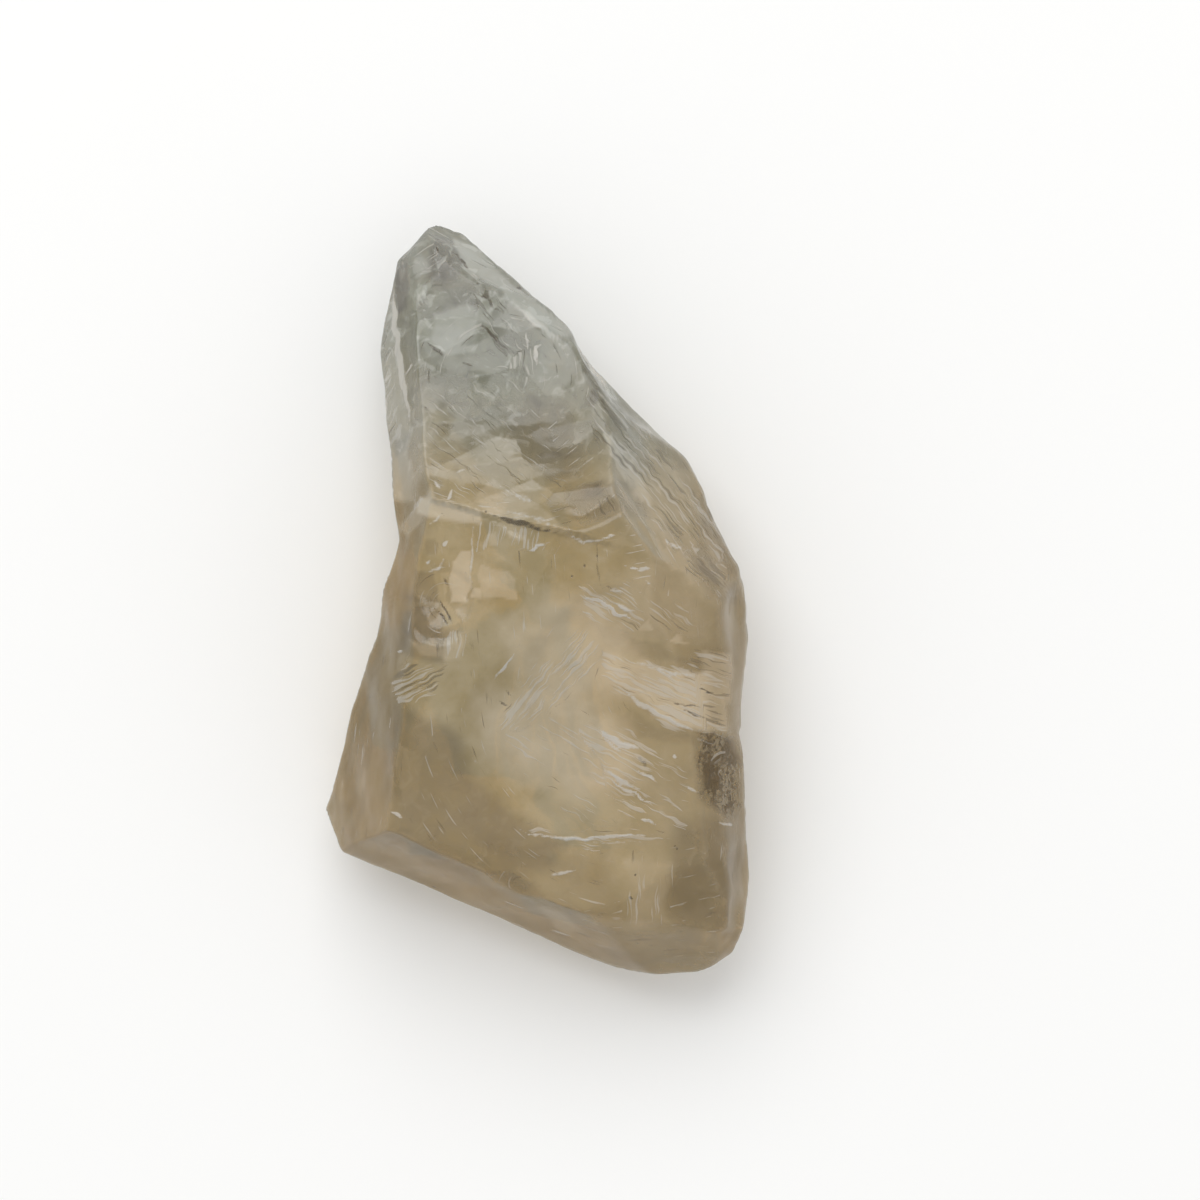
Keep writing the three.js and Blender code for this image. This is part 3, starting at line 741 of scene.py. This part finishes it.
class Value:
    """A number on a socket of a material. Arithmetic on it adds Math nodes."""

    def __init__(self, finish, socket):
        self.finish = finish
        self.socket = socket

    def maths(self, operation, *numbers, clamp=False):
        settings = {"operation": operation, "use_clamp": clamp}
        return self.finish.node("ShaderNodeMath", settings, dict(enumerate(numbers)))

    def __add__(self, other):
        return self.maths("ADD", self, other)

    def __sub__(self, other):
        return self.maths("SUBTRACT", self, other)

    def __rsub__(self, other):
        return self.maths("SUBTRACT", other, self)

    def __mul__(self, other):
        return self.maths("MULTIPLY", self, other)

    def clamped(self):
        return self.maths("ADD", self, 0, clamp=True)

    __radd__ = __add__
    __rmul__ = __mul__


class Finish:
    """A material's node tree, with one method that adds any node."""

    def __init__(self, name):
        self.material = bpy.data.materials.new(name)
        self.material.use_nodes = True
        self.tree = self.material.node_tree
        self.tree.nodes.clear()

    def node(self, kind, settings=None, sockets=None, out=0):
        """Adds a node: its settings first, then its sockets' values or links. Returns one output, if any."""
        node = self.tree.nodes.new(kind)
        for key, value in (settings or {}).items():
            setattr(node, key, value)
        for key, value in (sockets or {}).items():
            if isinstance(value, Value):
                self.tree.links.new(value.socket, node.inputs[key])
            else:
                node.inputs[key].default_value = value
        return Value(self, node.outputs[out]) if len(node.outputs) else None

    def place(self):
        """Object coordinates in mm."""
        metres = self.node("ShaderNodeTexCoord", out=3)
        factor = (1 / MM,) * 3
        return self.node("ShaderNodeVectorMath", {"operation": "MULTIPLY"}, {0: metres, 1: factor})

    def axis(self, vector, index):
        return self.node("ShaderNodeSeparateXYZ", None, {0: vector}, out=index)

    def vector(self, x, y, z):
        return self.node("ShaderNodeCombineXYZ", None, {0: x, 1: y, 2: z})

    def own(self, name):
        """The piece's own value of that name at each point of its skin."""
        return self.node("ShaderNodeAttribute", {"attribute_name": name}, out=2)

    def noise(self, vector, scale, detail=3.0, distortion=0.0):
        sockets = {"Vector": vector, "Scale": scale, "Detail": detail, "Distortion": distortion}
        return self.node("ShaderNodeTexNoise", None, sockets)

    def ramp(self, value, low, high, bottom=0.0, top=1.0):
        """From bottom at low to top at high by a smooth step, and level beyond; low may be the larger."""
        sockets = {"Value": value, "From Min": low, "From Max": high, "To Min": bottom, "To Max": top}
        return self.node("ShaderNodeMapRange", {"interpolation_type": "SMOOTHSTEP"}, sockets)

    def mix(self, factor, first, second):
        """A colour between two colours."""
        settings = {"data_type": "RGBA", "clamp_factor": True}
        return self.node("ShaderNodeMix", settings, {0: factor, 6: first, 7: second}, out=2)


def quartz_material(finish):
    """Smoky quartz: clear grey at the tip and honey in the body, with white veils, smoke and stains, and
    with painted shade, highlights and reflections.

    The piece's own values say where it is white with veils and painted light, darkened to amber as painted
    shade, smoky, in painted shade, stained or lined, and noise breaks them up. The tip is the most veined.
    """
    sheet = Finish("smoky_quartz")
    place = sheet.place()
    x, y = sheet.axis(place, 0), sheet.axis(place, 1)
    cloud = sheet.noise(place, 0.09, 2.0)
    mottle = sheet.noise(place, 0.45, 3.0)
    grain = sheet.noise(place, 2.6, 2.0)
    vein = sheet.noise(place, 0.7, 5.0, 1.2)
    across_lines = sheet.vector(sheet.own("run") * LINES_PER_MM, x * LINE_HOLD, y * LINE_HOLD)
    streak = sheet.noise(across_lines, 1.0, 2.0)
    pale_lines = sheet.ramp(streak + sheet.own("pale_lines") * 0.25, 0.7, 0.78)
    dark_lines = sheet.ramp(sheet.own("dark_lines") * 0.25 - streak, -0.3, -0.22)
    ragged = (grain - 0.5) * 0.5
    scratches_and_glints = sheet.ramp(sheet.own("scratches_and_glints") + ragged, 0.35, 0.65)
    cracked_and_shaded = sheet.ramp(sheet.own("cracked_and_shaded") + ragged, 0.35, 0.65)
    edged = sheet.ramp(sheet.own("edged") + ragged * 0.6, 0.3, 1.0)

    tip = sheet.ramp(y + (cloud - 0.5) * 16, 1, 23)
    veined = tip * 0.3 + 0.07
    body = sheet.mix(sheet.ramp(cloud + (mottle - 0.5) * 0.5, 0.34, 0.66), finish.honey, finish.cream)
    body = sheet.mix(sheet.ramp(x, 0, 16) * 0.6, body, finish.sand)
    colour = sheet.mix(tip, body, finish.grey)
    # Painted shade: the flanks and lower sides are darkened towards amber.
    amber_shade = sheet.own("amber_shade") * sheet.ramp(mottle, 0.3, 0.6, 0.8, 1.0) * (1 - tip * 0.85)
    colour = sheet.mix(amber_shade, colour, finish.amber_shade)
    # Smoke in the stone, and painted shade from the patches named shade.
    dark = sheet.mix(tip, finish.body_smoke_and_shade, finish.tip_smoke_and_shade)
    smoky = sheet.own("smoky") * sheet.ramp(mottle, 0.3, 0.6, 0.75, 1.0)
    smoky = (smoky + sheet.ramp(vein, 0.46, 0.3) * veined).clamped()
    colour = sheet.mix(smoky, colour, dark)
    stained = sheet.own("stained") * sheet.ramp(mottle + grain, 0.88, 1.1, 0.15, 1.0)
    colour = sheet.mix(stained, colour, finish.stain)
    white = sheet.own("white") * sheet.ramp(mottle, 0.3, 0.65, 0.8, 1.0)
    # Whiter edges: wear, and a painted highlight.
    white = (white + edged * 0.12 + sheet.ramp(vein, 0.53, 0.7) * veined).clamped()
    # Whitish veils, and painted sheen, reflections and highlights.
    colour = sheet.mix(white, colour, sheet.mix(tip, finish.veil_and_sheen, finish.frost_and_reflection))
    # Cracks and specks, and the painted shade lines under the lip, by the comb and below the ripples.
    colour = sheet.mix((cracked_and_shaded * 0.75 + dark_lines * 0.45).clamped(), colour, finish.crack_and_shade)
    # White scratches and flakes, and painted glints and highlights.
    colour = sheet.mix((scratches_and_glints * 0.8 + pale_lines * 0.45).clamped(), colour, finish.glint)

    roughness = sheet.ramp(mottle, 0.3, 0.7, 0.12, 0.24) + stained * 0.4
    height = grain * (0.2 + stained * 3.0) + pale_lines * 0.3 - dark_lines * 0.4
    height = height + scratches_and_glints * 0.3 - cracked_and_shaded * 0.3
    bump = sheet.node("ShaderNodeBump", None, {"Strength": 0.5, "Distance": 0.12 * MM, "Height": height})

    shader = sheet.node("ShaderNodeBsdfPrincipled", None, {
        "Base Color": colour,
        "Roughness": roughness,
        "Normal": bump,
        "IOR": finish.ior,
        "Transmission Weight": finish.clearness,
    })
    inside = sheet.node("ShaderNodeVolumeAbsorption", None, {
        "Color": (*finish.absorption, 1),
        "Density": finish.absorption_density,
    })
    sheet.node("ShaderNodeOutputMaterial", None, {"Surface": shader, "Volume": inside})
    return sheet.material


def floor_material(tone):
    """A plain pale matt floor with a faint unevenness."""
    sheet = Finish("pale_floor")
    patch = sheet.noise(sheet.place(), 0.006, 2.0)
    colour = sheet.mix(patch, (*(0.985 * c for c in tone), 1), (*tone, 1))
    shader = sheet.node("ShaderNodeBsdfPrincipled", None, {"Base Color": colour, "Roughness": 0.9})
    sheet.node("ShaderNodeOutputMaterial", None, {"Surface": shader})
    return sheet.material


class QuartzShape(PropertyGroup):
    """How the lump's skin is made."""

    across: IntProperty(name="Across", description="Cells across the lump", default=180, min=20)
    along: IntProperty(name="Along", description="Cells along the lump", default=330, min=30)
    down: IntProperty(name="Down", description="Cells down the sides", default=38, min=10)
    wear: FloatProperty(
        name="Wear", description="How far edges are worn round", default=0.12 * MM, unit="LENGTH"
    )


def colour_property(name, description, default):
    """A colour that the material takes with its alpha."""
    return FloatVectorProperty(
        name=name, description=description, size=4, subtype="COLOR", default=(*default, 1), min=0, max=1
    )


class QuartzFinish(PropertyGroup):
    """The stone's colours, the colours of its painted shade and highlights, and its clearness."""

    honey: colour_property("Honey", "The body's deeper colour", (0.6, 0.46, 0.2))
    cream: colour_property("Cream", "The body's paler colour", (0.78, 0.64, 0.37))
    grey: colour_property("Grey", "The clear tip's colour", (0.29, 0.3, 0.22))
    # Also painted sheen and highlights in the body.
    veil_and_sheen: colour_property("Veil", "Whitish places in the body", (1, 0.84, 0.58))
    # Also painted reflections on the tip's faces.
    frost_and_reflection: colour_property("Frost", "Whitish places in the tip", (0.88, 0.91, 0.84))
    sand: colour_property("Sand", "The body's greyer side", (0.56, 0.47, 0.3))
    # Painted shade: the darker amber of the flanks and lower sides.
    amber_shade: colour_property("Amber", "The flanks", (0.3, 0.18, 0.02))
    # These two colours also paint shade, in the patches named shade.
    body_smoke_and_shade: colour_property("Smoke", "Smoky places in the body", (0.2, 0.145, 0.06))
    tip_smoke_and_shade: colour_property("Tip Smoke", "Smoky places in the tip", (0.12, 0.11, 0.08))
    stain: colour_property("Stain", "The rough brown oval", (0.15, 0.098, 0.03))
    # Also painted shade: the shadow under the lip and the shade lines by the comb and the ripples.
    crack_and_shade: colour_property("Crack", "Dark cracks and specks", (0.1, 0.075, 0.04))
    # Also painted glints and highlights on ridges, the lip's rim and ripple crests.
    glint: colour_property("Glint", "White scratches and flakes", (1, 0.97, 0.89))
    clearness: FloatProperty(
        name="Clearness", description="Share of light that goes through", default=0.6, subtype="FACTOR"
    )
    ior: FloatProperty(name="Refraction", description="Quartz's refractive index", default=1.544)
    absorption: FloatVectorProperty(
        name="Absorption", description="Colour that the depth lets through", subtype="COLOR",
        default=(0.75, 0.59, 0.2),
    )
    absorption_density: FloatProperty(
        name="Density", description="How fast the depth takes light away, per metre", default=42
    )


class StudioSetup(PropertyGroup):
    """Floor, light and camera."""

    floor_tone: FloatVectorProperty(
        name="Floor", description="The floor's colour", subtype="COLOR", default=(0.9, 0.9, 0.89)
    )
    sky: FloatProperty(name="Sky", description="Strength of the light from all round", default=0.76)
    lamp: FloatProperty(name="Lamp", description="Power of the soft lamp", default=8.5, unit="POWER")
    lamp_size: FloatProperty(
        name="Lamp Size", description="Width of the soft lamp", default=1.2, unit="LENGTH"
    )
    view_width: FloatProperty(
        name="View Width", description="Width of the picture at the lump", default=100 * MM, unit="LENGTH"
    )
    camera_height: FloatProperty(
        name="Camera Height", description="The camera's height over the floor", default=0.7, unit="LENGTH"
    )


class QUARTZ_OT_lump(Operator):
    """Builds the lump of quartz in place of its plain solid"""

    bl_idname = "quartz.lump"
    bl_label = "Quartz Lump"

    def execute(self, context):
        shape = context.scene.quartz_shape
        skin, finish = lump_skin(shape)
        faces = skin_faces(shape.across, shape.along, shape.down + len(UNDER_RINGS))
        mesh = mesh_from("quartz_lump", skin * MM, *faces)
        for name, values in finish.items():
            layer = mesh.attributes.new(name, "FLOAT", "POINT")
            layer.data.foreach_set("value", values.astype(np.float32))
        mesh.materials.append(quartz_material(context.scene.quartz_finish))
        lump = add_object("quartz_lump", mesh)
        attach(lump, BODY)
        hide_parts(NODE)
        return {"FINISHED"}


class QUARTZ_OT_stage(Operator):
    """Lays the floor and sets up the soft light and the overhead camera"""

    bl_idname = "quartz.stage"
    bl_label = "Quartz Stage"

    def execute(self, context):
        scene = context.scene
        studio = scene.quartz_studio
        corners = FLOOR_REACH * np.array([[-1, -1, 0], [1, -1, 0], [1, 1, 0], [-1, 1, 0]])
        floor = add_object("floor", mesh_from("floor", corners, np.array([[0, 1, 2, 3]])))
        floor.data.materials.append(floor_material(studio.floor_tone))

        world = bpy.data.worlds.new("studio")
        world.use_nodes = True
        world.node_tree.nodes["Background"].inputs["Color"].default_value = (1, 1, 1, 1)
        world.node_tree.nodes["Background"].inputs["Strength"].default_value = studio.sky
        scene.world = world

        lamp = bpy.data.lights.new("soft_lamp", "AREA")
        lamp.shape = "DISK"
        lamp.size = studio.lamp_size
        lamp.energy = studio.lamp
        holder = add_object("soft_lamp", lamp)
        holder.location = LAMP_PLACE
        holder.rotation_euler = (-holder.location).to_track_quat("-Z", "Y").to_euler()

        camera = bpy.data.cameras.new("camera")
        camera.sensor_width = 36
        camera.lens = camera.sensor_width * (studio.camera_height - VIEW_LEVEL) / studio.view_width
        viewer = add_object("camera", camera)
        viewer.location = (VIEW_SHIFT, 0, studio.camera_height)
        scene.camera = viewer
        scene.view_settings.view_transform = "Standard"
        return {"FINISHED"}


class QUARTZ_PT_panel(Panel):
    """Sizes, colours and the steps of making"""

    bl_idname = "QUARTZ_PT_panel"
    bl_label = "Smoky Quartz"
    bl_space_type = "VIEW_3D"
    bl_region_type = "UI"
    bl_category = "Quartz"

    def draw(self, context):
        layout = self.layout
        for group in (context.scene.quartz_shape, context.scene.quartz_finish, context.scene.quartz_studio):
            box = layout.box()
            for name in group.__annotations__:
                box.prop(group, name)
        layout.operator(QUARTZ_OT_lump.bl_idname)
        layout.operator(QUARTZ_OT_stage.bl_idname)


CLASSES = (QuartzShape, QuartzFinish, StudioSetup, QUARTZ_OT_lump, QUARTZ_OT_stage, QUARTZ_PT_panel)


def register():
    for kind in CLASSES:
        bpy.utils.register_class(kind)
    bpy.types.Scene.quartz_shape = PointerProperty(type=QuartzShape)
    bpy.types.Scene.quartz_finish = PointerProperty(type=QuartzFinish)
    bpy.types.Scene.quartz_studio = PointerProperty(type=StudioSetup)


def unregister():
    del bpy.types.Scene.quartz_studio
    del bpy.types.Scene.quartz_finish
    del bpy.types.Scene.quartz_shape
    for kind in reversed(CLASSES):
        bpy.utils.unregister_class(kind)


def main():
    register()
    bpy.ops.quartz.lump()
    bpy.ops.quartz.stage()


if __name__ == "__main__":
    main()
